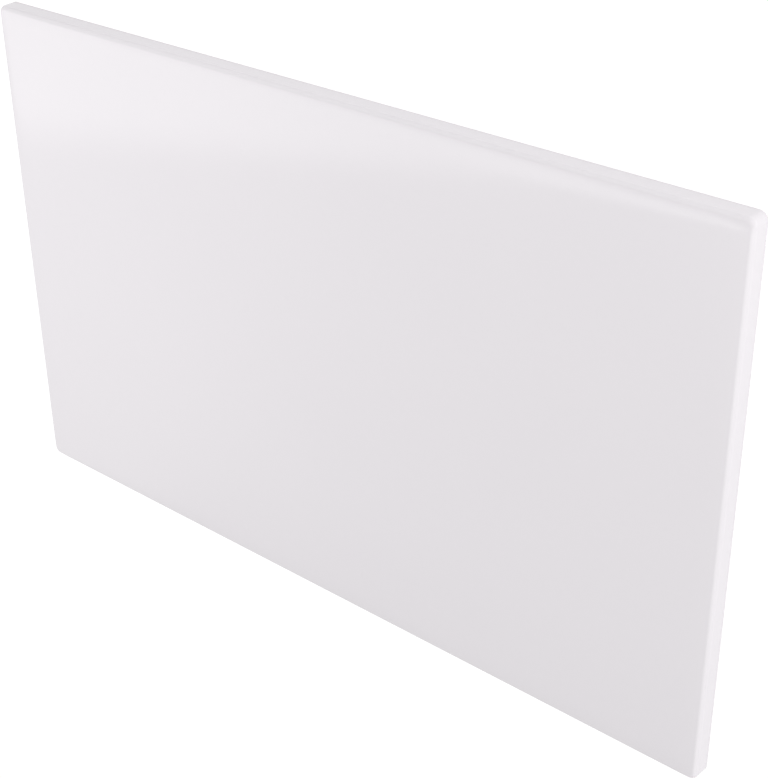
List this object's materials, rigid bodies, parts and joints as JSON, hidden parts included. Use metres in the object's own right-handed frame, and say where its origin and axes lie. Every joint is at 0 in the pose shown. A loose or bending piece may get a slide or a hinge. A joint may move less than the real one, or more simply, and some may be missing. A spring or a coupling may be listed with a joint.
{
  "type": "bath panel",
  "caption": "Rectangular white acrylic bath end panel: a flat glossy show face with rounded edges, a shallow return on every side and an open back.",
  "frame": {"origin": "centre of the panel's outline in the plane of the trimmed rim, on which the panel lies", "axes": "+X along the panel's width, +Y up its height as fitted (towards its top edge), +Z out of the show face"},
  "size_m": [0.7, 0.43, 0.015],
  "materials": {
    "white_acrylic": "high gloss on the show face and returns, plain on the hidden side"
  },
  "bodies": {
    "root": {"bath_panel": "white_acrylic"}
  },
  "joints": []
}
